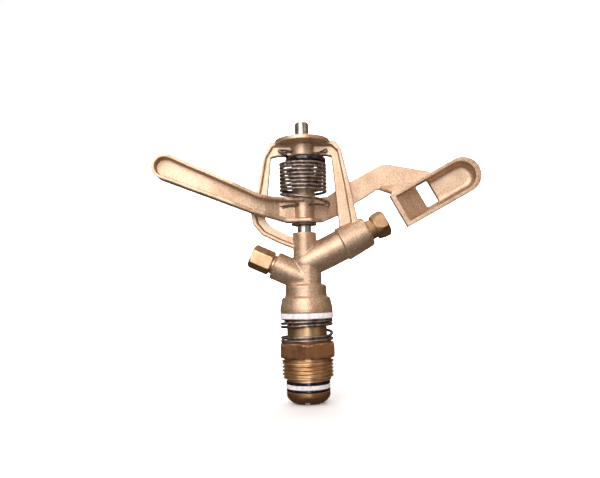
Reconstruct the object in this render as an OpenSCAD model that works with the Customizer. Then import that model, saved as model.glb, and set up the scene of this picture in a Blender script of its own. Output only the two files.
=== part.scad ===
// Cast impact sprinkler with two nozzles, for a G1 riser.
// Frame: Z is the turning axis, z = 0 is the shoulder under the bearing hexagon,
// and the main jet leaves towards +X. All sizes in millimetres.

/* [Bearing nipple] */
// Outer diameter of the inlet thread, G1
thread_d = 33.25; // [32:0.05:34]
// Length of the inlet thread under the hexagon
thread_l = 14.4; // [12:0.2:16]
// Hexagon across flats
hex_af = 34; // [32:0.5:35]
// Hexagon height
hex_h = 9.6; // [8:0.2:10]
// Outer diameter of the polished neck
neck_d = 25.8; // [25:0.1:27]
// Bearing bore
bearing_d = 20.76; // [20.7:0.02:20.8]

/* [Turning spindle and seals] */
// Spindle outer diameter
spindle_d = 20.6; // [20.5:0.02:20.6]
// Water way through the spindle
water_d = 16; // [14:0.5:16.5]
// Flange diameter
flange_d = 28; // [26:0.5:29]

/* [Body casting] */
// Largest diameter of the skirt
skirt_d = 34.4; // [33:0.2:35]
// Collar diameter
collar_d = 27; // [26:0.2:28]
// Width of the riser part of the body
elbow_d = 20.8; // [20:0.2:22]
// Height at which the main jet axis leaves the vertical axis
jet_z = 60.1; // [59:0.1:61]
// Rise of the main jet in degrees
jet_rise = 26; // [25:0.5:27]
// Height at which the rear jet axis leaves the vertical axis
rear_z = 50.4; // [50:0.1:51]
// Rise of the rear jet in degrees
rear_rise = 25; // [24:0.5:26]
// Top of the lower pin boss
boss_top = 80.6; // [80:0.1:81]

/* [Nozzles] */
// Main nozzle exit bore
main_bore_d = 7; // [5:0.5:8]
// Rear nozzle exit bore
rear_bore_d = 3; // [2:0.5:3.5]
// Main nozzle hexagon across flats
main_af = 16; // [15:0.5:16.5]
// Rear nozzle hexagon across flats
rear_af = 14; // [12:0.5:14.5]

/* [Swing arm] */
// Angle of the arm web to the jet at rest, seen from above
arm_yaw = 16; // [15.5:0.1:16.5]
// Outer diameter of the arm hub
hub_d = 13; // [12.6:0.1:13.4]
// Depth of the counterweight bar
bar_depth = 13.7; // [12:0.1:14]
// Thickness of the rims along the bar
rim = 2.1; // [1.6:0.1:2.6]
// Thickness of the plate that carries the spoon
plate_t = 3.2; // [2.6:0.1:3.4]

/* [Fulcrum pin and springs] */
// Fulcrum pin diameter
pin_d = 8; // [7.8:0.1:8]
// Diameter of its head above the disc and of its collar on the boss
pin_head_d = 9.2; // [8.6:0.1:9.4]
// Top of the fulcrum pin
pin_top = 154.6; // [152:0.1:156]
// Wire diameter of both springs
wire_d = 2; // [1.6:0.1:2]

/* [Hidden] */
$fn = 64;
cast_bronze = [0.80, 0.63, 0.46];
turned_brass = [0.74, 0.50, 0.22];
spring_steel = [0.33, 0.32, 0.31];
black_rubber = [0.08, 0.08, 0.09];
white_ptfe = [0.93, 0.91, 0.92];
stainless = [0.66, 0.65, 0.63];

// Heights up the turning axis
neck_top = 21;
cap_z = 24.2;
washer_z = 25;
skirt_z = 28.4;
skirt_top = 38.6;
collar_top = 46.6;
seal_z = -thread_l;
ptfe_z = seal_z - 2.1;
seal2_z = ptfe_z - 2.7;
flange_z = seal2_z - 1.8;
flange_end = -28.6;

// Heights up the fulcrum pin
rest_z = 85.3;
arm_z = 87;
arm_hub_top = 125.6;
seat_z = 126.9;
seat_h = 3.2;
seat_r = 14.3;
seat_x = 1.2;
crossbar_z = 132;
disc_z = 139.3;
disc_h = 3;
upper_pin_z = 134.8;
upper_pin_y = -3.7;
upper_pin_d = 1.8;
lower_pin_z = 98.4;
lower_pin_y = -4.85;
lower_pin_d = 1.4;
bush_r = 5.2;
bush_l = 9;

// Stations along the nozzle axes, measured from the turning axis
barrel_step = 27.5;
barrel_end = 46.8;
nozzle_tip = 60;
rear_end = 22.2;
rear_tip = 38.6;
rear_turn = -3;

// The riser is two tubes side by side: the main elbow, and the rear one beside it
main_x = 1.2;
back_x = -1.8;

// Frame outline in the XZ plane, from the top shoulder down to the foot of each leg
left_outer = [[-21.5, 140.8], [-25.8, 130.3], [-30.4, 110.2], [-34.9, 94], [-33.4, 86.4], [-28, 79.8],
    [-17, 74.2], [-5, 69.2]];
left_inner = [[-16, 132], [-20.8, 131], [-23.4, 106.7], [-25.6, 93], [-25, 88.8], [-21.4, 84.6],
    [-13, 80.2], [-5, 76.8]];
right_outer = [[21.5, 141], [25.4, 136], [30.6, 112.5], [35.2, 86]];
right_inner = [[15, 132], [19.3, 131], [21.3, 108.4], [23.4, 80]];

// Arm outlines seen from the front
bar_outline = [[-84.6, 131], [-28.8, 105.2], [-24.4, 103.8], [0, 102.6], [0, 87], [-11.2, 87],
    [-24.6, 90.6], [-33.5, 92.9], [-91.2, 116]];
plate_outline = [[0, 89], [12, 87.4], [23.5, 92.4], [35.8, 101], [42.7, 104.5], [49.6, 109.2],
    [54.5, 109.9], [66, 110.4], [85.4, 116.8], [85.4, 120.4], [58.3, 126.3], [53.3, 126.3], [47.9, 123.4],
    [32, 115.2], [21.8, 109], [15.3, 104.6], [0, 103.4]];
// The back of the plate seen from above
plate_curve = [[-1, 1.4], [24, 24 * tan(arm_yaw) + 1.7], [28, 9.3], [50, 9.3], [70, 8.8], [87, 7.6]];
bar_tip = [-88, 123.3];
bar_tip_r = 8;
// The tray cut into the bar, seen from the front
tray_outline = [[-85, 128.4], [-29.4, 102.9], [-24.6, 101.6], [2, 100.6], [2, 89.6], [-11.3, 89.6],
    [-24, 93.2], [-33.2, 95.3], [-90, 118]];
// The front and back of the bar, and the floor of its tray, seen from above
bar_back = -6.3;
bar_front = bar_back - bar_depth;
bar_plan = [[-100, bar_back], [-100, bar_front], [-45, bar_front + 1], [-25, bar_front + 5.5], [-12, -9.4],
    [0, -8.4], [0, 1.6], [-12, 0], [-22, -2.8], [-28, -5.4], [-60, bar_back]];
tray_plan = [[-100, -14.4], [-100, -30], [2, -30], [2, -1.6], [-3, -2.6], [-12, -3.8], [-16, -4],
    [-25, -6.9], [-34, -8.8], [-60, -12.4]];
spoon_origin = [61.5, 0, 92.3];
spoon_rise = 28;
spoon_l = 48.7;
spoon_r = 11.9;
spoon_rim = 2.5;
// The window through the spoon, and the scoop beyond it
window_x = 20.6;
window_l = 9;
window_low = -6.6;
scoop_y = 1.4;
scoop_tilt = 8.5;
fillet = 4;

function between(a, b, k) = [for (i = [0:len(a) - 1]) a[i] + k * (b[i] - a[i])];
function backwards(a) = [for (i = [len(a) - 1:-1:0]) a[i]];

// A wire swept along a helix: turns counted from start angle a0, z given by a formula of the turn
module coil(r, wire, turns, a0, z0, rise, per_turn = 20, sides = 8) {
    n = ceil(turns * per_turn);
    pts = [for (i = [0:n]) let (t = i / per_turn, a = a0 + 360 * t)
        for (j = [0:sides - 1]) let (b = 360 * j / sides)
        [(r + wire / 2 * cos(b)) * cos(a), (r + wire / 2 * cos(b)) * sin(a),
            z0 + lookup(t, rise) + wire / 2 * sin(b)]];
    walls = [for (i = [0:n - 1]) for (j = [0:sides - 1])
        [i * sides + j, i * sides + (j + 1) % sides, (i + 1) * sides + (j + 1) % sides, (i + 1) * sides + j]];
    polyhedron(concat(pts), concat(walls, [[for (j = [sides - 1:-1:0]) j],
        [for (j = [0:sides - 1]) n * sides + j]]), convexity = 12);
}

// A ring with its base at z
module ring(d_out, d_in, z, h) {
    translate([0, 0, z]) difference() {
        cylinder(h = h, d = d_out);
        translate([0, 0, -1]) cylinder(h = h + 2, d = d_in);
    }
}

// A hexagon with its corners turned off by a cone at each end, a flat facing +Y when turned is 0
module turned_hex(af, h, turned = 0, back = 0.14) {
    ac = af / cos(30);
    intersection() {
        rotate(turned) cylinder(h = h, d = ac, $fn = 6);
        rotate_extrude() polygon([[0, 0], [af / 2 - 0.2, 0], [ac / 2 + 0.1, back * af / 2],
            [ac / 2 + 0.1, h - 0.14 * af / 2], [af / 2 - 0.2, h], [0, h]]);
    }
}

// Puts a shape made along +Z onto a nozzle axis that leaves the turning axis at height z
module along_jet(z, rise) {
    translate([0, 0, z]) rotate([0, 90 - rise, 0]) children();
}

module bearing_nipple() {
    color(turned_brass) difference() {
        union() {
            rotate_extrude() polygon([[0, -thread_l], [thread_d / 2 - 2.2, -thread_l],
                [thread_d / 2, -thread_l + 2.4], [thread_d / 2, 0.5], [0, 0.5]]);
            turned_hex(hex_af, hex_h, 30);
            translate([0, 0, hex_h - 1]) cylinder(h = neck_top - hex_h + 0.4, d = neck_d);
            translate([0, 0, neck_top - 0.6]) cylinder(h = 0.6, d1 = neck_d, d2 = neck_d - 1.2);
        }
        translate([0, 0, -thread_l - 1]) cylinder(h = neck_top + thread_l + 2, d = bearing_d);
    }
}

module sand_spring() {
    color(spring_steel) coil(r = 16.1, wire = wire_d - 0.1, turns = 3.95, a0 = 170, z0 = hex_h + 1.05,
        rise = [[0, 0], [1.27, 2.6], [1.44, 3.2], [1.54, 4.9], [1.79, 7.6], [2.02, 8.8], [2.29, 10.2],
            [2.95, 10.55], [3.29, 12.45], [3.95, 12.5]]);
}

module spring_cap() {
    color(spring_steel) ring(skirt_d - 0.6, spindle_d + 0.6, cap_z, washer_z - cap_z);
}

module thrust_washer() {
    color(white_ptfe) ring(skirt_d + 0.2, spindle_d + 0.6, washer_z, skirt_z - washer_z);
}

// A frame leg: a web with a deeper flange along its outside
module leg(outer, inner, depth) {
    rotate([90, 0, 0]) {
        linear_extrude(height = 5, center = true) polygon(concat(outer, backwards(inner)));
        linear_extrude(height = depth, center = true)
            polygon(concat(outer, backwards(between(outer, inner, 0.34))));
    }
}

// One tube of the riser, with a ball at its top where a nozzle axis leaves
module riser_half(x, z, swell) {
    r = elbow_d / 2 - abs(x);
    translate([x, 0, collar_top - 1]) cylinder(h = z - collar_top + 1.6, r = r);
    translate([x, 0, z + 0.6]) sphere(r = r + swell);
}

module body_casting() {
    color(cast_bronze) difference() {
        union() {
            rotate_extrude() polygon([[0, skirt_z], [skirt_d / 2, skirt_z], [skirt_d / 2 - 0.1, skirt_z + 2.8],
                [skirt_d / 2 - 1.5, skirt_top - 0.8], [skirt_d / 2 - 2.4, skirt_top], [collar_d / 2 + 0.2, skirt_top],
                [collar_d / 2 - 0.2, collar_top - 1], [collar_d / 2 - 1.2, collar_top], [0, collar_top]]);
            riser_half(main_x, jet_z, 0.2);
            riser_half(back_x, rear_z, 0);
            along_jet(jet_z, jet_rise) rotate_extrude() polygon([[0, 0], [9.3, 0], [10.2, 12],
                [10.3, barrel_step], [11.4, barrel_step], [10, barrel_end - 1.2], [9.2, barrel_end],
                [0, barrel_end]]);
            mirror([1, 0, 0]) along_jet(rear_z, rear_rise)
                rotate_extrude() polygon([[0, 0], [9, 0], [9.2, rear_end - 0.7], [8.5, rear_end], [0, rear_end]]);
            translate([0, 0, jet_z]) cylinder(h = boss_top - jet_z, d = 15.4);
            leg(left_outer, left_inner, 7);
            leg(right_outer, right_inner, 10);
            translate([-21.5, -2.5, crossbar_z]) cube([42, 5, disc_z - crossbar_z + 1]);
            translate([-21.9, -3.5, disc_z - 1]) cube([23, 7, 2.5]);
            translate([0, -5, disc_z - 1]) cube([21.7, 10, 2.5]);
            translate([0, 0, disc_z]) cylinder(h = disc_h, d = 36.4);
            translate([0, 0, crossbar_z - 0.6]) cylinder(h = disc_z - crossbar_z + 1, d = 15.6);
        }
        translate([0, 0, skirt_z - 1]) cylinder(h = 15, d = spindle_d);
        translate([0, 0, skirt_z]) cylinder(h = jet_z - skirt_z, d = water_d - 1);
        translate([0, 0, jet_z]) sphere(d = water_d - 1);
        along_jet(jet_z, jet_rise) cylinder(h = 60, d = 12.6);
        mirror([1, 0, 0]) along_jet(rear_z, rear_rise) cylinder(h = 40, d = 8.4);
        translate([0, 0, 71]) cylinder(h = 90, d = pin_d);
        translate([-8, upper_pin_y, upper_pin_z]) rotate([0, 90, 0]) cylinder(h = 16, d = upper_pin_d);
        translate([0, 0, arm_z - 2]) cylinder(h = 42, r = 9);
    }
}

module spindle_tube() {
    color(turned_brass) difference() {
        rotate_extrude() polygon([[0, flange_end], [9, flange_end], [12.2, flange_end + 2], [13.6, flange_end + 3.4],
            [flange_d / 2, flange_end + 4.6], [flange_d / 2, flange_z], [spindle_d / 2, flange_z],
            [spindle_d / 2, skirt_z + 14], [0, skirt_z + 14]]);
        translate([0, 0, flange_end - 1]) cylinder(h = 80, d = water_d);
        for (a = [25:60:355]) rotate(a) translate([7, -1.6, flange_end - 1]) cube([10, 3.2, 2.6]);
    }
}

module seal_washer_top() {
    color(black_rubber) ring(flange_d, spindle_d, ptfe_z, seal_z - ptfe_z);
}

module ptfe_seal_ring() {
    color(white_ptfe) ring(flange_d + 0.2, spindle_d, seal2_z, ptfe_z - seal2_z);
}

module seal_washer_bottom() {
    color(black_rubber) ring(flange_d, spindle_d, flange_z, seal2_z - flange_z);
}

module main_nozzle() {
    color(turned_brass) along_jet(jet_z, jet_rise) difference() {
        union() {
            translate([0, 0, barrel_end - 7.8]) cylinder(h = 8, d = 12.6);
            translate([0, 0, barrel_end]) cylinder(h = 5, r1 = 6.9, r2 = 6.2);
            translate([0, 0, barrel_end + 4.4]) turned_hex(main_af, nozzle_tip - barrel_end - 4.4, 48, 0.45);
        }
        rotate_extrude() polygon([[0, 30], [5.4, 30], [5.4, barrel_end - 7.8], [main_bore_d / 2, nozzle_tip - 5],
            [0, nozzle_tip - 5]]);
        translate([0, 0, nozzle_tip - 6]) cylinder(h = 8, d = main_bore_d);
    }
}

module rear_nozzle() {
    color(turned_brass) mirror([1, 0, 0]) along_jet(rear_z, rear_rise) difference() {
        union() {
            translate([0, 0, rear_end - 7]) cylinder(h = 8, d = 8.4);
            translate([0, 0, rear_end]) cylinder(h = 3, d = 8.4);
            translate([0, 0, rear_end + 1.8]) turned_hex(rear_af, rear_tip - rear_end - 1.8, rear_turn);
        }
        rotate_extrude() polygon([[0, 5], [3, 5], [3, rear_end - 6], [rear_bore_d / 2, rear_tip - 4],
            [0, rear_tip - 4]]);
        translate([0, 0, rear_tip - 5]) cylinder(h = 8, d = rear_bore_d);
    }
}

module rear_nozzle_gasket() {
    color("goldenrod") mirror([1, 0, 0]) along_jet(rear_z, rear_rise) ring(12.6, 8.4, rear_end, 1.6);
}

module flow_straightener() {
    color(white_ptfe) along_jet(jet_z, jet_rise) {
        ring(12.6, 11.4, 24, 14);
        intersection() {
            translate([0, 0, 24]) cylinder(h = 14, d = 11.6);
            union() for (a = [0:60:120]) rotate(a) translate([-7, -0.35, 24]) cube([14, 0.7, 14]);
        }
    }
}

module fulcrum_pin() {
    color(stainless) difference() {
        union() {
            translate([0, 0, 71]) cylinder(h = pin_top - 72, d = pin_d);
            translate([0, 0, disc_z + disc_h]) cylinder(h = pin_top - disc_z - disc_h - 1, d = pin_head_d);
            translate([0, 0, pin_top - 1]) cylinder(h = 1, d1 = pin_head_d, d2 = pin_head_d - 1.8);
            translate([0, 0, boss_top]) cylinder(h = rest_z - boss_top - 0.2, d = pin_head_d);
        }
        translate([-8, upper_pin_y, upper_pin_z]) rotate([0, 90, 0]) cylinder(h = 16, d = upper_pin_d);
    }
}

// A split pin along X: legs on the left, eye on the right
module split_pin(y, z, d) {
    translate([-15.6, y, z]) rotate([0, 90, 0]) cylinder(h = 31, d = d);
    translate([15.6, y, z]) rotate([90, 0, 0]) difference() {
        cylinder(h = d, d = 3.4, center = true);
        cylinder(h = 2 * d, d = 1, center = true);
    }
}

module upper_split_pin() {
    color(spring_steel) split_pin(upper_pin_y, upper_pin_z, upper_pin_d);
}

module lower_split_pin() {
    color(spring_steel) split_pin(lower_pin_y, lower_pin_z, lower_pin_d);
}

module spring_seat_ring() {
    color(black_rubber) difference() {
        translate([seat_x, 0, seat_z]) rotate_extrude() polygon([[0, 0], [seat_r - 0.6, 0],
            [seat_r, 0.7], [seat_r, seat_h - 0.9], [seat_r - 0.8, seat_h], [0, seat_h]]);
        translate([0, 0, seat_z - 1]) cylinder(h = 8, d = pin_d + 0.1);
    }
}

module arm_rest_washer() {
    color(black_rubber) ring(16.4, pin_d + 0.1, rest_z, arm_z - rest_z - 0.1);
}

// Everything behind an outline seen from the front
module behind(outline, tip_r) {
    rotate([90, 0, 0]) linear_extrude(height = 60, center = true) union() {
        polygon(outline);
        translate(bar_tip) circle(r = tip_r);
    }
}

// The counterweight bar: a tray that is open to the front, bent where it leaves the hub web
module counterweight() {
    difference() {
        intersection() {
            behind(bar_outline, bar_tip_r);
            linear_extrude(height = 200) polygon(bar_plan);
        }
        intersection() {
            behind(tray_outline, bar_tip_r - rim);
            linear_extrude(height = 200) polygon(tray_plan);
        }
    }
}

// The spoon, drawn along its own axis: X along the jet, Y through its depth, Z across it
module spoon() {
    half = spoon_r - spoon_rim;
    translate(spoon_origin) rotate([0, -spoon_rise, 0]) difference() {
        intersection() {
            rotate([90, 0, 0]) linear_extrude(height = 60, center = true) union() {
                translate([0, -spoon_r]) square([spoon_l, 2 * spoon_r]);
                translate([spoon_l, 0]) circle(r = spoon_r);
            }
            linear_extrude(height = 40, center = true) polygon([[0, -8], [0, -3.6], [18, 8], [29, 8],
                [spoon_l + 8, 1.6], [spoon_l + 14, -4], [spoon_l + 14, -8]]);
        }
        intersection() {
            translate([3.4, -20, 0.2 - half]) cube([window_x - 3, 40, 2 * half - 0.4]);
            linear_extrude(height = 40, center = true)
                polygon([[0, -9], [3.4, -5.6], [window_x, 4.2], [window_x + 1, 4.2], [window_x + 1, -9]]);
        }
        translate([window_x, -20, window_low]) cube([window_l, 40, half - window_low - 0.4]);
        translate([spoon_l, scoop_y, 0]) rotate(-scoop_tilt) scoop(half, 28);
    }
}

// A round-ended trough open to -Y, its floor at y = 0, with a fillet all round the floor
module scoop(r, l) {
    side = concat([for (a = [0:15:90]) [r - fillet + fillet * sin(a), fillet - fillet * cos(a)]], [[r, 20]]);
    rotate([90, 0, 0]) rotate_extrude() polygon(concat([[0, 0]], side, [[0, 20]]));
    rotate([90, 0, -90]) linear_extrude(height = l)
        polygon(concat([for (p = side) [p[1], p[0]]], [for (p = backwards(side)) [p[1], -p[0]]]));
}

// The plate that carries the spoon: it leaves the hub at the web's angle and curves forward to the spoon
module spoon_plate() {
    intersection() {
        rotate([90, 0, 0]) linear_extrude(height = 60, center = true) polygon(plate_outline);
        linear_extrude(height = 200) polygon(concat(plate_curve,
            [for (i = [len(plate_curve) - 1:-1:0]) plate_curve[i] + [0.7, -plate_t - 0.1]]));
    }
    hull() {
        translate([51.2, 6.4, 109.2]) cube([4, 2.6, 1.8]);
        translate([57.4, -7.8, 103.6]) cube([2, 3, 1.6]);
        translate([69, -7.4, 109.6]) cube([2, 14, 1.6]);
    }
}

module swing_arm() {
    color(cast_bronze) difference() {
        union() {
            counterweight();
            spoon_plate();
            spoon();
            translate([0, 0, arm_z]) cylinder(h = 17, d = hub_d);
            translate([0, 0, arm_z + 16]) cylinder(h = arm_hub_top - arm_z - 16, d = 15.2);
            translate([0, 0, arm_z]) linear_extrude(height = 2.6)
                polygon([[-12, -8.6], [4.7, -8.6], [11.4, -3.4], [11.4, 1.4], [-12, 1.4]]);
        }
        translate([0, 0, arm_z - 1]) cylinder(h = bush_l + 1, r = bush_r);
        translate([0, 0, arm_z]) cylinder(h = 60, r = pin_d / 2 + 0.5);
        translate([0, 0, arm_hub_top - bush_l]) cylinder(h = bush_l + 1, r = bush_r);
        translate([-8, lower_pin_y, lower_pin_z]) rotate([0, 90, 0]) cylinder(h = 16, d = lower_pin_d);
    }
}

module arm_bush_lower() {
    color("tan") ring(2 * bush_r, pin_d + 0.1, arm_z, bush_l);
}

module arm_bush_upper() {
    color("tan") ring(2 * bush_r, pin_d + 0.1, arm_hub_top - bush_l, bush_l);
}

module arm_spring() {
    color(spring_steel) mirror([0, 1, 0]) coil(r = 14.7, wire = wire_d - 0.1, turns = 8.4, a0 = 25, z0 = 100.9,
        rise = [[0, 0], [0.18, 2.1], [0.43, 5.7], [8.43, 25.4]]);
}

bearing_nipple();
sand_spring();
spring_cap();
thrust_washer();
body_casting();
spindle_tube();
seal_washer_top();
ptfe_seal_ring();
seal_washer_bottom();
main_nozzle();
rear_nozzle();
rear_nozzle_gasket();
flow_straightener();
fulcrum_pin();
upper_split_pin();
spring_seat_ring();
arm_rest_washer();
swing_arm();
arm_bush_lower();
arm_bush_upper();
lower_split_pin();
arm_spring();
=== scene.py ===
"""An impact sprinkler: the looks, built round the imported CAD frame.

The shared frame is in metres: Z is the turning axis, z = 0 is under the hexagon, +X is the way the
main jet points, and the spoon opens to -Y. Shapes are drawn in millimetres, and MM scales them.
"""
import math

import bmesh
import bpy
from mathutils import Matrix, Vector, noise
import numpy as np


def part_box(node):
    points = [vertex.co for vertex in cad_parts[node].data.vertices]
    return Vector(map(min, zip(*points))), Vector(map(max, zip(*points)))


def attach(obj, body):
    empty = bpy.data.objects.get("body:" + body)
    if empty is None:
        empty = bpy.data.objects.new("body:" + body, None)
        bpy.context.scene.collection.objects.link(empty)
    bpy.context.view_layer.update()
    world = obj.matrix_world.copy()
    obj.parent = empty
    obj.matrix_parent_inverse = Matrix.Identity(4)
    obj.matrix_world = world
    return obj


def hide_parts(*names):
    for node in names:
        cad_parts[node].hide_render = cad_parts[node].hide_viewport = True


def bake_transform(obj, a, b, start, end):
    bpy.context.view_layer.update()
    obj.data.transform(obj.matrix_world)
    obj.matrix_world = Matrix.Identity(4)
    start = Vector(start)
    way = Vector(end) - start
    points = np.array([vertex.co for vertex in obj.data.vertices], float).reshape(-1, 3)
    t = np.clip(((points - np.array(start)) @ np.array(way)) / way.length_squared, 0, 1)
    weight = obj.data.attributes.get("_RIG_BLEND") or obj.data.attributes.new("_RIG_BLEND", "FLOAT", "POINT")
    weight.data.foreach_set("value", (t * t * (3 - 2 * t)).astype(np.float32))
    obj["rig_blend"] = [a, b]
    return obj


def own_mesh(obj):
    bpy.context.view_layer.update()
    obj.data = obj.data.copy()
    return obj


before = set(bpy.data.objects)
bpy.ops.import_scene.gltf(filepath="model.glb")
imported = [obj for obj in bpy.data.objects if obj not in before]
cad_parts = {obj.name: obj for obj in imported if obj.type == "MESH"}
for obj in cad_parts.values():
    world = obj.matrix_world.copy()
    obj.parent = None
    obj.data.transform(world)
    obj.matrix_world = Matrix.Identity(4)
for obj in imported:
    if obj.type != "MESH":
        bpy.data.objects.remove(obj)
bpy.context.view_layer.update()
MM = 0.001
TAU = 2 * math.pi


# ---------------------------------------------------------------- places, read from the frame
def low(node):
    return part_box(node)[0] / MM


def high(node):
    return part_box(node)[1] / MM


HEX_AF = high("bearing_nipple").x * 2
HEX_H = 9.6  # height of the bearing hexagon
NECK_TOP = high("bearing_nipple").z
THREAD_END = low("bearing_nipple").z
# where each nozzle's axis crosses Z, and how many degrees it rises
JET_Z, JET_RISE = 60.1, 26.0
REAR_Z, REAR_RISE = 50.4, 25.0


# ---------------------------------------------------------------- camera
LENS = 34.8
CAMERA_PLACE = (-0.0030, -0.380, 0.0413)
CAMERA_UP = 5.3  # degrees above level
CAMERA_ROLL = -1.5


def add_camera():
    """The photographed view: low, looking slightly up, with the object leaning a little."""
    data = bpy.data.cameras.new("camera")
    data.sensor_width = 36.0
    data.lens = LENS
    data.clip_start = 0.01
    camera = bpy.data.objects.new("camera", data)
    bpy.context.scene.collection.objects.link(camera)
    place = Matrix.Translation(CAMERA_PLACE)
    pitch = Matrix.Rotation(math.radians(90 + CAMERA_UP), 4, "X")
    roll = Matrix.Rotation(math.radians(CAMERA_ROLL), 4, "Z")
    camera.matrix_world = place @ pitch @ roll
    bpy.context.scene.camera = camera


# ---------------------------------------------------------------- materials
class Shader:
    """A Principled material whose colour, roughness and bump come from procedural nodes."""

    def __init__(self, name, metallic, roughness, specular=0.5):
        self.material = bpy.data.materials.new(name)
        self.material.use_nodes = True
        self.nodes = self.material.node_tree.nodes
        self.links = self.material.node_tree.links
        self.surface = self.nodes["Principled BSDF"]
        self.surface.inputs["Metallic"].default_value = metallic
        self.surface.inputs["Roughness"].default_value = roughness
        self.surface.inputs["Specular IOR Level"].default_value = specular
        self.place = self.nodes.new("ShaderNodeTexCoord").outputs["Object"]
        self.normal = None

    def add(self, kind, **settings):
        node = self.nodes.new("ShaderNode" + kind)
        for key, value in settings.items():
            if hasattr(node, key):
                setattr(node, key, value)
            else:
                node.inputs[key.replace("_", " ")].default_value = value
        return node

    def noise(self, size_mm, detail=3.0, roughness=0.5):
        """Noise whose features are about size_mm across."""
        node = self.add("TexNoise", Scale=1 / (size_mm * MM), Detail=detail, Roughness=roughness)
        self.links.new(self.place, node.inputs["Vector"])
        return node.outputs["Fac"]

    def rings(self, pitch_mm, axis="Z", distortion=0.0):
        """Bands along an axis, as a turning tool leaves."""
        node = self.add("TexWave", wave_type="BANDS", bands_direction=axis,
                        Scale=TAU / (20 * pitch_mm * MM), Distortion=distortion, Detail=1.0)
        self.links.new(self.place, node.inputs["Vector"])
        return node.outputs["Fac"]

    def ramp(self, value, stops):
        node = self.add("ValToRGB")
        elements = node.color_ramp.elements
        while len(elements) < len(stops):
            elements.new(0.5)
        for element, (position, color) in zip(elements, stops):
            element.position = position
            element.color = (*color, 1.0)
        self.links.new(value, node.inputs["Fac"])
        return node.outputs["Color"]

    def level(self, value, low_out, high_out, low_in=0.3, high_in=0.7):
        node = self.add("MapRange")
        ends = {"From Min": low_in, "From Max": high_in, "To Min": low_out, "To Max": high_out}
        for key, number in ends.items():
            node.inputs[key].default_value = number
        self.links.new(value, node.inputs["Value"])
        return node.outputs["Result"]

    def mix(self, factor, a, b, mode="MIX"):
        node = self.add("Mix", data_type="RGBA", blend_type=mode)
        for socket, value in (("Factor", factor), ("A", a), ("B", b)):
            target = next(s for s in node.inputs if s.name == socket and s.enabled)
            if isinstance(value, bpy.types.NodeSocket):
                self.links.new(value, target)
            else:
                target.default_value = value if socket == "Factor" else (*value, 1.0)
        return next(s for s in node.outputs if s.enabled)

    def worn_edges(self, low_in, high_in):
        """0 in hollows and on flats, 1 on the outside of edges."""
        return self.level(self.add("NewGeometry").outputs["Pointiness"], 0.0, 1.0, low_in, high_in)

    def hollows(self, low_in, high_in):
        """1 in inside corners, 0 elsewhere."""
        return self.level(self.add("NewGeometry").outputs["Pointiness"], 1.0, 0.0, low_in, high_in)

    def bump(self, value, depth_mm, strength=1.0):
        node = self.add("Bump", Strength=strength, Distance=depth_mm * MM)
        self.links.new(value, node.inputs["Height"])
        if self.normal:
            self.links.new(self.normal, node.inputs["Normal"])
        self.normal = node.outputs["Normal"]

    def finish(self, color, roughness=None):
        self.links.new(color, self.surface.inputs["Base Color"])
        if roughness:
            self.links.new(roughness, self.surface.inputs["Roughness"])
        if self.normal:
            self.links.new(self.normal, self.surface.inputs["Normal"])
        return self.material


def cast_bronze():
    """Sand-cast, lightly blasted bronze: pale gold, a coarse sandy grain, and browner in the corners, partly
    patina and partly painted shade in creases and under rims.
    """
    s = Shader("cast_bronze", metallic=0.88, roughness=0.44)
    cloud = s.noise(9.0, detail=4)
    grain = s.noise(0.85, detail=3, roughness=0.6)
    tone = s.ramp(cloud, [(0.3, (0.68, 0.47, 0.33)), (0.5, (0.78, 0.58, 0.43)),
                          (0.72, (0.85, 0.66, 0.51))])
    speckle = s.ramp(grain, [(0.34, (0.50, 0.40, 0.32)), (0.5, (0.86, 0.81, 0.76)),
                             (0.64, (1.0, 1.0, 1.0))])
    tone = s.mix(0.8, tone, speckle, "MULTIPLY")
    # Red-brown in inside corners: partly patina, partly painted shade in the creases and under the rims.
    tone = s.mix(s.level(s.hollows(0.37, 0.465), 0.0, 0.6, 0.0, 1.0), tone, (0.24, 0.11, 0.05))
    tone = s.mix(s.level(s.worn_edges(0.53, 0.62), 0.0, 0.6, 0.0, 1.0), tone, (0.97, 0.86, 0.72))
    s.bump(grain, 0.13, 0.8)
    s.bump(s.noise(2.6, detail=2), 0.14, 0.5)
    return s.finish(tone, s.level(grain, 0.38, 0.56))


def turned_brass(name, pitch=0.8, smooth=0.24, rough=0.36, bar=None, skin_color=(0.66, 0.29, 0.13)):
    """Bar brass off the lathe: pale gold with tool rings, a little tarnish, and red-brown hollows that are
    partly tarnish and partly painted shade. Between the two heights of bar, in millimetres, it keeps a darker
    skin."""
    s = Shader(name, metallic=1.0, roughness=rough)
    cloud = s.noise(7.0, detail=3)
    tone = s.ramp(cloud, [(0.32, (0.70, 0.45, 0.24)), (0.52, (0.81, 0.57, 0.35)),
                          (0.7, (0.87, 0.66, 0.45))])
    if bar:
        height = s.add("SeparateXYZ")
        s.links.new(s.place, height.inputs[0])
        edges = [s.level(height.outputs["Z"], 0.0, 1.0, z * MM, (z + step) * MM)
                 for z, step in zip(bar, (0.3, -0.3))]
        skin = s.add("Math", operation="MULTIPLY")
        for socket, edge in zip(skin.inputs, edges):
            s.links.new(edge, socket)
        tone = s.mix(s.level(skin.outputs[0], 0.0, 0.7, 0.0, 1.0), tone, skin_color)
    # Red-brown in inside corners and thread roots: partly tarnish, partly painted shade.
    tone = s.mix(s.level(s.hollows(0.30, 0.42), 0.0, 0.45, 0.0, 1.0), tone, (0.25, 0.10, 0.04))
    tone = s.mix(s.level(s.worn_edges(0.54, 0.64), 0.0, 0.6, 0.0, 1.0), tone, (0.93, 0.72, 0.44))
    s.bump(s.rings(pitch, distortion=0.4), 0.006, 0.25)
    return s.finish(tone, s.level(s.noise(3.0, detail=3), smooth, rough))


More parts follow.
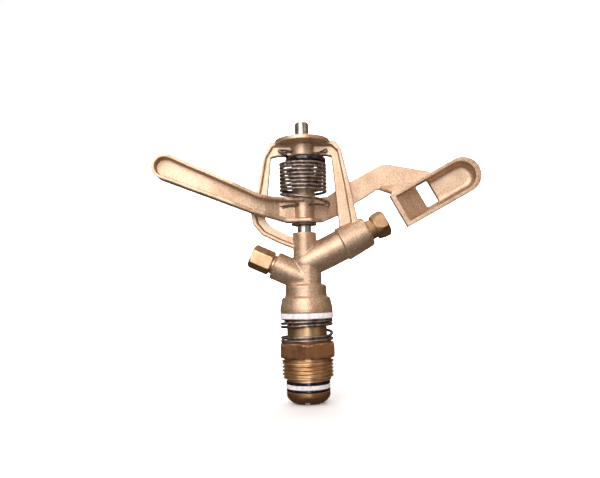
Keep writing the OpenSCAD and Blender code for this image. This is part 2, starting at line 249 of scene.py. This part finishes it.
def drawn_wire(name="spring_steel", tone=(0.37, 0.30, 0.28)):
    """Drawn spring wire: dark, with lengthwise streaks and lighter rubbed places."""
    s = Shader(name, metallic=0.95, roughness=0.33)
    cloud = s.noise(2.4, detail=4)
    dark = tuple(0.45 * c for c in tone)
    light = tuple(min(1.0, 1.9 * c) for c in tone)
    color = s.ramp(cloud, [(0.34, dark), (0.52, tone), (0.74, light)])
    color = s.mix(s.level(s.noise(0.5, detail=2), 0.0, 0.3), color, (0.25, 0.20, 0.17))
    s.bump(s.noise(0.35, detail=2), 0.015, 0.4)
    return s.finish(color, s.level(cloud, 0.26, 0.44))


def black_rubber():
    """Moulded rubber with a slight sheen, a dusty bloom and fine moulding marks."""
    s = Shader("black_rubber", metallic=0.0, roughness=0.25, specular=0.6)
    bloom = s.noise(3.2, detail=5)
    color = s.ramp(bloom, [(0.35, (0.004, 0.004, 0.006)), (0.6, (0.009, 0.008, 0.011)),
                           (0.8, (0.03, 0.028, 0.032))])
    s.bump(s.noise(0.4, detail=3), 0.012, 0.3)
    return s.finish(color, s.level(bloom, 0.13, 0.32))


def white_plastic():
    """Turned white fluoropolymer: milky, with faint tool rings and handling marks."""
    s = Shader("white_plastic", metallic=0.0, roughness=0.4, specular=0.4)
    s.surface.inputs["Subsurface Weight"].default_value = 0.15
    s.surface.inputs["Subsurface Scale"].default_value = 0.001
    marks = s.noise(2.8, detail=5)
    color = s.ramp(marks, [(0.25, (0.60, 0.55, 0.55)), (0.5, (0.76, 0.72, 0.74)),
                           (0.7, (0.84, 0.81, 0.84))])
    s.bump(s.rings(0.3), 0.01, 0.35)
    return s.finish(color, s.level(marks, 0.32, 0.5))


def ground_steel():
    """Ground stainless bar with round grinding marks."""
    s = Shader("stainless", metallic=1.0, roughness=0.3)
    cloud = s.noise(3.0, detail=4)
    color = s.ramp(cloud, [(0.3, (0.30, 0.28, 0.26)), (0.55, (0.46, 0.44, 0.42)),
                           (0.75, (0.62, 0.60, 0.58))])
    s.bump(s.rings(0.5, distortion=0.8), 0.006, 0.35)
    return s.finish(color, s.level(s.noise(1.2, detail=3), 0.26, 0.40))


def bush_plastic(name="bush_plastic", dark=(0.30, 0.21, 0.12), light=(0.42, 0.31, 0.19)):
    """Filled bearing plastic with a moulded grain."""
    s = Shader(name, metallic=0.0, roughness=0.5)
    grain = s.noise(0.6, detail=4)
    color = s.ramp(grain, [(0.35, dark), (0.6, light)])
    s.bump(grain, 0.02, 0.5)
    return s.finish(color, s.level(grain, 0.42, 0.6))


# ---------------------------------------------------------------- mesh helpers
def piece(name, verts, faces, sharp=35.0):
    """A new mesh object from vertices in millimetres."""
    mesh = bpy.data.meshes.new(name)
    mesh.from_pydata([Vector(v) * MM for v in verts], [], faces)
    bm = bmesh.new()
    bm.from_mesh(mesh)
    bmesh.ops.remove_doubles(bm, verts=bm.verts, dist=1e-7)
    bmesh.ops.dissolve_degenerate(bm, edges=bm.edges, dist=1e-7)
    bmesh.ops.recalc_face_normals(bm, faces=bm.faces)
    bm.to_mesh(mesh)
    bm.free()
    obj = bpy.data.objects.new(name, mesh)
    bpy.context.scene.collection.objects.link(obj)
    shade(obj, sharp)
    return obj


def shade(obj, sharp):
    obj.data.shade_smooth()
    obj.data.set_sharp_from_angle(angle=math.radians(sharp))


def rounded(profile, radius, steps=4):
    """A closed outline with each corner rounded to about that radius, or less where a side is short."""
    points = [Vector(p) for p in profile]
    out = []
    for before, corner, after in zip(points[-1:] + points[:-1], points, points[1:] + points[:1]):
        a, b = before - corner, after - corner
        half = a.angle(b) / 2
        if half > math.radians(86) or min(corner.x, radius) < 1e-6:
            out.append(corner)
            continue
        back = min(radius / math.tan(half), 0.45 * a.length, 0.45 * b.length)
        start, end = corner + a.normalized() * back, corner + b.normalized() * back
        for k in range(steps + 1):
            t = k / steps
            out.append(start * (1 - t) ** 2 + corner * 2 * t * (1 - t) + end * t * t)
    return out


def lathe(name, profile, segments=128, place=Matrix(), radius=None, sharp=35.0):
    """A closed outline of (r, z) points turned about Z; radius(r, z, angle) may reshape it."""
    verts = []
    for k in range(segments):
        a = TAU * k / segments
        for r, z in profile:
            out = radius(r, z, a) if radius else r
            verts.append(place @ Vector((out * math.cos(a), out * math.sin(a), z)))
    n = len(profile)
    faces = [(k * n + j, k * n + (j + 1) % n,
              (k + 1) % segments * n + (j + 1) % n, (k + 1) % segments * n + j)
             for k in range(segments) for j in range(n)]
    return piece(name, verts, faces, sharp)


def washer(name, outer_r, inner_r, z, height, edge=0.35, **options):
    outline = [(inner_r, z), (outer_r, z), (outer_r, z + height), (inner_r, z + height)]
    return lathe(name, rounded(outline, edge), **options)


def sweep(name, path, radius, sides=14):
    """A round wire along a path of points in millimetres, with domed ends."""
    points = [Vector(p) for p in path]
    tangents = [(b - a).normalized()
                for a, b in zip(points[:1] + points[:-1], points[1:] + points[-1:])]
    side = tangents[0].orthogonal().normalized()
    stations = []
    for i, (point, tangent) in enumerate(zip(points, tangents)):
        side = (side - tangent * side.dot(tangent)).normalized()
        stations.append((point, tangent, side.copy(), radius))
    start, end = stations[0], stations[-1]
    domes = [(0.55, 0.62), (0.25, 0.9)]
    head = [(start[0] - start[1] * radius * k, start[1], start[2], radius * r) for k, r in domes]
    tail = [(end[0] + end[1] * radius * k, end[1], end[2], radius * r) for k, r in reversed(domes)]
    stations = head + stations + tail
    verts = []
    for point, tangent, across, r in stations:
        up = tangent.cross(across)
        verts += [point + r * (across * math.cos(TAU * k / sides) + up * math.sin(TAU * k / sides))
                  for k in range(sides)]
    faces = [(i * sides + k, i * sides + (k + 1) % sides,
              (i + 1) * sides + (k + 1) % sides, (i + 1) * sides + k)
             for i in range(len(stations) - 1) for k in range(sides)]
    faces += [tuple(reversed(range(sides))), tuple(range(len(verts) - sides, len(verts)))]
    return piece(name, verts, faces, sharp=60)


def smooth_path(corners, per_span=6):
    """A Catmull-Rom curve through the points."""
    pts = [Vector(c) for c in corners]
    pts = [pts[0] * 2 - pts[1]] + pts + [pts[-1] * 2 - pts[-2]]
    out = []
    for a, b, c, d in zip(pts, pts[1:], pts[2:], pts[3:]):
        for k in range(per_span):
            t = k / per_span
            out.append(0.5 * (2 * b + (c - a) * t + (2 * a - 5 * b + 4 * c - d) * t * t
                              + (3 * b - a - 3 * c + d) * t ** 3))
    return out + [pts[-2]]


def helix(radius, angle0, turns, height, per_turn=40):
    """Points of a coil about Z; height(turn) gives z."""
    count = round(turns * per_turn)
    out = []
    for i in range(count + 1):
        t = i / per_turn
        a = math.radians(angle0) + TAU * t
        out.append(Vector((radius * math.cos(a), radius * math.sin(a), height(t))))
    return out


def along(stops):
    """A height that runs straight from each (turn, z) stop to the next."""
    def height(t):
        for (t0, z0), (t1, z1) in zip(stops, stops[1:]):
            if t <= t1:
                return z0 + (z1 - z0) * (t - t0) / (t1 - t0)
        return stops[-1][1]
    return height


def apply_modifiers(obj):
    """Puts what the modifiers give into the mesh."""
    bpy.context.view_layer.update()
    graph = bpy.context.evaluated_depsgraph_get()
    mesh = bpy.data.meshes.new_from_object(obj.evaluated_get(graph))
    obj.modifiers.clear()
    obj.data = mesh


def casting(name, node, voxel, grain):
    """The cast surface of a CAD node: corners filled and rounded as a casting's are, with a sandy skin
    whose grains stand up to about 2.6 times grain, in millimetres."""
    bm = bmesh.new()
    bm.from_mesh(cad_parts[node].data)
    bmesh.ops.remove_doubles(bm, verts=bm.verts, dist=1e-6)
    mesh = bpy.data.meshes.new(name)
    bm.to_mesh(mesh)
    bm.free()
    obj = bpy.data.objects.new(name, mesh)
    bpy.context.scene.collection.objects.link(obj)
    remesh = obj.modifiers.new("skin", "REMESH")
    remesh.mode = "VOXEL"
    remesh.voxel_size = voxel * MM
    soften = obj.modifiers.new("soften", "SMOOTH")
    soften.factor = 0.5
    soften.iterations = 3
    apply_modifiers(obj)
    normals = [v.normal.copy() for v in obj.data.vertices]
    for vertex, normal in zip(obj.data.vertices, normals):
        sand = noise.noise(vertex.co / (0.9 * MM)) + 1.6 * noise.noise(vertex.co / (5.0 * MM))
        vertex.co += normal * sand * grain * MM
    shade(obj, 75)
    return obj


def finish_piece(obj, body, slot, material, *nodes):
    obj.data.materials.clear()
    obj.data.materials.append(material)
    if nodes:
        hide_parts(*nodes)
    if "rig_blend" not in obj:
        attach(obj, body)
    return obj


# ---------------------------------------------------------------- shapes
def hexagon(af, angle, turned):
    """Radius of a hexagon at an angle; a corner lies at the angle turned."""
    step = math.radians(60)
    a = (angle - turned) % step - step / 2
    return af / 2 / math.cos(a)


def on_jet(z, rise, rear=False):
    """Places a shape made along +Z onto a nozzle axis."""
    tilt = math.radians(90 - rise)
    return Matrix.Translation((0, 0, z)) @ Matrix.Rotation(-tilt if rear else tilt, 4, "Y")


def bearing_nipple():
    """Thread, hexagon and polished neck in one turned piece."""
    crest, depth, pitch = 16.62, 1.35, 2.309
    top, end = -2.0, THREAD_END
    bore = 10.42

    def shape(r, z, a):
        if r <= bore or z > HEX_H + 0.01:
            return r
        if z >= 0 and r > 15:
            cone = HEX_AF / 2 - 0.3 + 2.2 * min(z, HEX_H - z)
            return min(hexagon(HEX_AF, a, math.radians(30)), cone)
        if z < top and r > 14:
            phase = (z / pitch - a / TAU) % 1.0
            groove = 0.5 - 0.5 * math.cos(TAU * phase)
            fade = min(1.0, (top - z) / 1.2)
            lead = max(0.0, end + 2.5 - z) * 0.95
            return crest - depth * groove ** 0.8 * fade - lead
        return r

    outer = [(13.6, end)] + [(crest, end + 0.02 + k * (top - end) / 90) for k in range(91)]
    outer += [(15.0, -1.6), (15.0, -0.02), (16.5, 0.0)]
    outer += [(17.5, HEX_H * k / 16) for k in range(17)]
    outer += [(13.4, HEX_H + 0.02), (12.95, HEX_H + 0.6), (12.9, 11.0), (12.9, NECK_TOP - 0.6),
              (12.4, NECK_TOP - 0.1), (11.9, NECK_TOP)]
    inner = [(10.8, NECK_TOP), (bore, NECK_TOP - 0.5), (bore, end + 0.5), (10.9, end)]
    return lathe("bearing_nipple_turned", outer + inner, segments=240, radius=shape, sharp=28)


def spindle():
    """The turning tube, its flange rounded at the bottom and notched for a spanner."""
    top, bottom = high("spindle_tube").z, low("spindle_tube").z
    shoulder = low("seal_washer_bottom").z
    outline = [(8, bottom + 0.6), (8.6, bottom), (9.6, bottom), (11.9, bottom + 1.6), (13.5, bottom + 3.4),
               (14, bottom + 5), (14, shoulder - 0.3), (13.7, shoulder), (10.25, shoulder), (10.25, top), (8, top)]
    tube = lathe("spindle_tube_turned", outline, segments=144)
    notches, first, half_width, depth = 6, 25, 1.6, 1.7
    for k in range(notches):
        corners = [(x, y, z) for x in (6.5, 18) for y in (-half_width, half_width)
                   for z in (bottom - 2, bottom + depth)]
        sides = [(0, 1, 3, 2), (4, 6, 7, 5), (0, 4, 5, 1), (2, 3, 7, 6), (0, 2, 6, 4), (1, 5, 7, 3)]
        cutter = piece("notch", corners, sides)
        cutter.matrix_world = Matrix.Rotation(math.radians(first + 360 / notches * k), 4, "Z")
        cut = tube.modifiers.new("notch", "BOOLEAN")
        cut.operation, cut.solver, cut.object = "DIFFERENCE", "EXACT", cutter
        apply_modifiers(tube)
        bpy.data.objects.remove(cutter)
    bevel = tube.modifiers.new("edges", "BEVEL")
    bevel.width, bevel.segments, bevel.limit_method = 0.18 * MM, 2, "ANGLE"
    bevel.angle_limit = math.radians(50)
    apply_modifiers(tube)
    shade(tube, 40)
    return tube


def hex_nozzle(name, af, neck, head, bore, place, turned, rear_slope):
    """A nozzle with a hexagon head whose corners are turned to cones. neck is (radius of the part
    screwed into the body, radius of the neck, where that part starts along the jet), and head is
    where the head starts and ends."""
    start, end = head
    thread_r, neck_r, stem = neck

    def shape(r, z, a):
        if r < af / 2 - 0.6 or not start <= z <= end:
            return r
        front = af / 2 - 0.25 + 1.1 * (end - z)
        rear = af / 2 - 0.1 + rear_slope * (z - start)
        return min(hexagon(af, a, turned), front, rear)

    outer = [(thread_r, stem), (thread_r, stem + 7.6), (neck_r + 0.5, stem + 7.8), (neck_r, start - 0.01)]
    outer += [(af, start + (end - start) * k / 24) for k in range(25)]
    outer += [(bore + 1.9, end), (bore + 1.5, end - 0.35), (bore + 0.5, end - 0.45)]
    inner = [(bore, end - 0.9), (bore, end - 4), (thread_r - 1.2, stem + 2), (thread_r - 1.2, stem)]
    return lathe(name, outer + inner, segments=144, place=place, radius=shape, sharp=30)


def arm_spring():
    """Eight left-handed turns round the arm hub, then a tail at each end that hooks on a split pin."""
    heights = along([(0, 100.9), (0.18, 103.2), (0.43, 106.6), (7.43, 124.1), (8.43, 126.3)])
    lean = 0.045  # the coil stands a little higher at the back
    turns = helix(radius=14.75, angle0=25, turns=8.42, height=heights)
    coil = [Vector((p.x, -p.y, p.z + lean * -p.y)) for p in turns]
    lower = [(15.6, -3.4, 97.1), (16.3, -3.7, 98.3), (15.8, -4.4, 99.7)]
    upper = [(-11.4, 8.6, 127.4), (-9.0, 5.6, 129.3), (-9.5, 0.6, 130.5), (-11.8, -4.2, 132.4),
             (-14.6, -5.1, 134.2), (-15.4, -5.0, 135.0)]
    return smooth_path(lower + [coil[0]])[:-1] + coil + smooth_path([coil[-1]] + upper)[1:]


def split_pin(name, place, wire, legs, bend):
    """A bent wire along X: an eye on the right, two legs on the left whose tips spread to the given
    heights. bend(x) lifts the wire along its way."""
    half, gap, eye = 15.2, 0.42 * wire, 1.1
    bow = [(half + eye * math.sin(a), eye * math.cos(a)) for a in map(math.radians, range(20, 161, 20))]
    upper = [(-half, legs[0]), (-0.72 * half, 0.35 * legs[0] + gap), (-8, gap), (8, gap),
             (0.8 * half, gap)]
    lower = [(0.8 * half, -gap), (8, -gap), (-8, -gap), (-0.7 * half, 0.35 * legs[1] - gap),
             (1.2 - half, legs[1])]
    points = smooth_path([(x, 0, z + bend(x)) for x, z in upper + bow + lower])
    return sweep(name, [place @ p for p in points], wire * 0.5, sides=10)


# ---------------------------------------------------------------- stage and light
def add_stage(material):
    """A plain pale floor that curves up behind, far enough back to be even."""
    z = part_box("spindle_tube")[0].z - 0.0005
    outline = [(-1.2, 0.0), (1.0, 0.0)]
    outline += [(1.0 + 0.9 * math.sin(a), 0.9 - 0.9 * math.cos(a))
                for a in map(math.radians, range(9, 91, 9))]
    outline.append((1.9, 2.6))
    verts = [(x * 1000, y * 1000, z * 1000 + h * 1000) for x in (-3.0, 3.0) for y, h in outline]
    n = len(outline)
    floor = piece("floor", verts, [(k, k + 1, n + k + 1, n + k) for k in range(n - 1)])
    floor.data.materials.append(material)
    floor.visible_glossy = False


def pale_floor():
    s = Shader("pale_floor", metallic=0.0, roughness=0.9, specular=0.1)
    tone = s.ramp(s.noise(60.0), [(0.3, (0.94, 0.96, 0.98)), (0.7, (0.96, 0.98, 1.0))])
    s.links.new(tone, s.surface.inputs["Emission Color"])
    s.surface.inputs["Emission Strength"].default_value = 0.15
    return s.finish(tone)


def add_light(name, place, aim, size, power, color=(1, 1, 1)):
    data = bpy.data.lights.new(name, "AREA")
    data.shape = "RECTANGLE"
    data.size, data.size_y = size
    data.energy = power
    data.color = color
    lamp = bpy.data.objects.new(name, data)
    lamp.location = place
    lamp.rotation_euler = (Vector(aim) - Vector(place)).to_track_quat("-Z", "Y").to_euler()
    bpy.context.scene.collection.objects.link(lamp)


WORLD_LOW = (0.14, 0.095, 0.062, 1)
WORLD_HIGH = (1.0, 0.80, 0.64, 1)


def add_lights():
    """A world that is warm and dark below and pale above, and five soft boxes, with their power in watts."""
    world = bpy.data.worlds.new("studio")
    bpy.context.scene.world = world
    world.use_nodes = True
    nodes, links = world.node_tree.nodes, world.node_tree.links
    place = nodes.new("ShaderNodeTexCoord")
    split = nodes.new("ShaderNodeSeparateXYZ")
    ramp = nodes.new("ShaderNodeValToRGB")
    links.new(place.outputs["Generated"], split.inputs[0])
    links.new(split.outputs["Z"], ramp.inputs[0])
    links.new(ramp.outputs[0], nodes["Background"].inputs["Color"])
    ramp.color_ramp.elements[0].position = 0.0
    ramp.color_ramp.elements[0].color = WORLD_LOW
    ramp.color_ramp.elements[1].position = 0.55
    ramp.color_ramp.elements[1].color = WORLD_HIGH
    nodes["Background"].inputs["Strength"].default_value = 0.38
    aim = (0, 0, 0.08)
    add_light("key", (-0.31, -0.78, 0.43), aim, (0.8, 0.6), 5.5)
    add_light("front_strip", (0.02, -0.85, 0.10), aim, (0.09, 0.8), 1.7)
    add_light("fill", (0.75, -0.55, 0.30), aim, (0.45, 0.6), 0.7, (1.0, 0.86, 0.72))
    add_light("top", (0.0, 0.1, 0.9), aim, (0.7, 0.7), 3.2)
    add_light("back_wall", (0.0, 0.9, 0.9), (0.0, 1.6, 0.2), (1.6, 0.8), 40)


# ---------------------------------------------------------------- the object
def build():
    bronze, wire = cast_bronze(), drawn_wire()
    rubber, plastic, steel, bush = black_rubber(), white_plastic(), ground_steel(), bush_plastic()
    dark_wire = drawn_wire("split_pin_wire", (0.10, 0.078, 0.058))
    # Dark red-brown for the arm rest washer: painted shade, standing in for the shadow under the arm's hub.
    painted_shade_washer = bush_plastic("painted_shade_washer", (0.045, 0.018, 0.012), (0.10, 0.045, 0.03))
    nipple_brass = turned_brass("nipple_brass", smooth=0.32, rough=0.44, bar=(0.0, HEX_H))
    nozzle_brass = turned_brass("nozzle_brass", pitch=1.1, smooth=0.42, rough=0.55)
    dull_brass = turned_brass("dull_brass", pitch=1.1, smooth=0.54, rough=0.68, bar=(0.0, 200.0),
                              skin_color=(0.44, 0.27, 0.15))
    flange_brass = turned_brass("flange_brass", pitch=0.8, smooth=0.34, rough=0.46, bar=(-40.0, 60.0),
                                skin_color=(0.84, 0.42, 0.22))

    body = casting("body_casting_skin", "body_casting", voxel=0.4, grain=0.030)
    finish_piece(body, "rotor", "cast_bronze", bronze, "body_casting")
    arm = casting("swing_arm_skin", "swing_arm", voxel=0.38, grain=0.026)
    finish_piece(arm, "arm", "cast_bronze", bronze, "swing_arm")

    finish_piece(bearing_nipple(), "bearing", "turned_brass", nipple_brass, "bearing_nipple")
    finish_piece(spindle(), "rotor", "turned_brass", flange_brass, "spindle_tube")

    for name, node, outer, inner, body_name, slot, material, edge in (
        ("seal_top_ring", "seal_washer_top", 14.0, 10.35, "rotor", "black_rubber", rubber, 0.5),
        ("ptfe_ring", "ptfe_seal_ring", 14.1, 10.35, "rotor", "white_plastic", plastic, 0.3),
        ("seal_bottom_ring", "seal_washer_bottom", 14.0, 10.35, "rotor", "black_rubber", rubber, 0.5),
        ("thrust_ring", "thrust_washer", 17.3, 10.6, "thrust_pack", "white_plastic", plastic, 0.4),
        ("spring_cap_ring", "spring_cap", 16.9, 10.6, "thrust_pack", "spring_steel", wire, 0.15),
        ("arm_rest_ring", "arm_rest_washer", 8.2, 4.1, "rotor", "black_rubber", painted_shade_washer, 0.45),
    ):
        z0, z1 = low(node).z, high(node).z
        finish_piece(washer(name, outer, inner, z0, z1 - z0, edge), body_name, slot, material, node)

    z0, z1 = low("spring_seat_ring").z, high("spring_seat_ring").z
    seat_r = 13.5  # smaller than its CAD ring, and kept to that ring's right edge
    seat_x = high("spring_seat_ring").x - seat_r
    seat = washer("spring_seat", seat_r, 7.0, z0, z1 - z0, edge=0.9,
                  place=Matrix.Translation((seat_x, 0, 0)))
    finish_piece(seat, "rotor", "black_rubber", rubber, "spring_seat_ring")

    jet, rear = on_jet(JET_Z, JET_RISE), on_jet(REAR_Z, REAR_RISE, rear=True)
    main = hex_nozzle("main_nozzle_turned", af=16.0, neck=(6.3, 6.3, 39.0), head=(51.3, 60.0),
                      bore=3.5, place=jet, turned=math.radians(48), rear_slope=0.3)
    finish_piece(main, "rotor", "turned_brass", dull_brass, "main_nozzle")
    back = hex_nozzle("rear_nozzle_turned", af=14.0, neck=(4.2, 4.7, 15.2), head=(24.1, 38.6),
                      bore=1.5, place=rear, turned=math.radians(-3), rear_slope=1.6)
    finish_piece(back, "rotor", "turned_brass", nozzle_brass, "rear_nozzle")
    gasket = washer("rear_gasket", outer_r=6.3, inner_r=4.2, z=22.2, height=1.6, edge=0.6, place=rear)
    finish_piece(gasket, "rotor", "turned_brass", nozzle_brass, "rear_nozzle_gasket")

    top = high("fulcrum_pin").z
    pin_outline = [(0, 71), (4, 71), (4, 80.7), (4.6, 80.7), (4.6, 85.0), (4, 85.0),
                   (4, 142.4), (4.6, 142.4), (4.6, top - 1.0), (3.7, top), (0, top)]
    pin = lathe("fulcrum_pin_ground", pin_outline, segments=96, sharp=30)
    finish_piece(pin, "rotor", "stainless", steel, "fulcrum_pin")

    for node, name in (("arm_bush_lower", "bush_low"), ("arm_bush_upper", "bush_high")):
        z0, z1 = low(node).z, high(node).z
        finish_piece(washer(name, 5.15, 4.06, z0, z1 - z0, 0.25), "arm", "bush_plastic", bush, node)

    # the turns lie close at both ends, with a steep rise between
    rise = along([(0, 10.65), (1.27, 13.25), (1.44, 13.85), (1.54, 15.55), (1.79, 18.25),
                  (2.02, 19.45), (2.29, 20.85), (2.95, 21.2), (3.29, 23.1), (3.95, 23.15)])
    path = helix(radius=16.1, angle0=170, turns=3.95, height=rise)
    coil = sweep("sand_spring_coil", path, radius=0.96)
    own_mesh(coil)
    finish_piece(coil, "bearing", "spring_steel", wire, "sand_spring")

    spring = sweep("arm_spring_coil", arm_spring(), radius=1.03)
    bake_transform(spring, "arm", "rotor", start=(0, 0, 0.1025), end=(0, 0, 0.1245))
    finish_piece(spring, "arm", "spring_steel", wire, "arm_spring")

    droop = along([(-20, 0.5), (-6, 0.0), (5, 0.0), (8.6, -1.9), (15.0, 0.0), (20, 0.2)])
    place = Matrix.Translation((0, -3.7, 134.4))
    upper = split_pin("upper_split_pin_wire", place, wire=0.95, legs=(1.1, -0.8), bend=droop)
    finish_piece(upper, "rotor", "spring_steel", dark_wire, "upper_split_pin")
    level = along([(-20, -0.6), (-6, 0.0), (6, 0.4), (15, -0.5), (20, -0.7)])
    place = Matrix.Translation((0, -4.85, 98.4))
    lower = split_pin("lower_split_pin_wire", place, wire=0.75, legs=(-0.2, -1.2), bend=level)
    finish_piece(lower, "arm", "spring_steel", dark_wire, "lower_split_pin")

    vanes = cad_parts["flow_straightener"]
    vanes.data.materials.clear()
    vanes.data.materials.append(plastic)


add_camera()
build()
add_stage(pale_floor())
add_lights()
bpy.context.scene.view_settings.view_transform = "Standard"
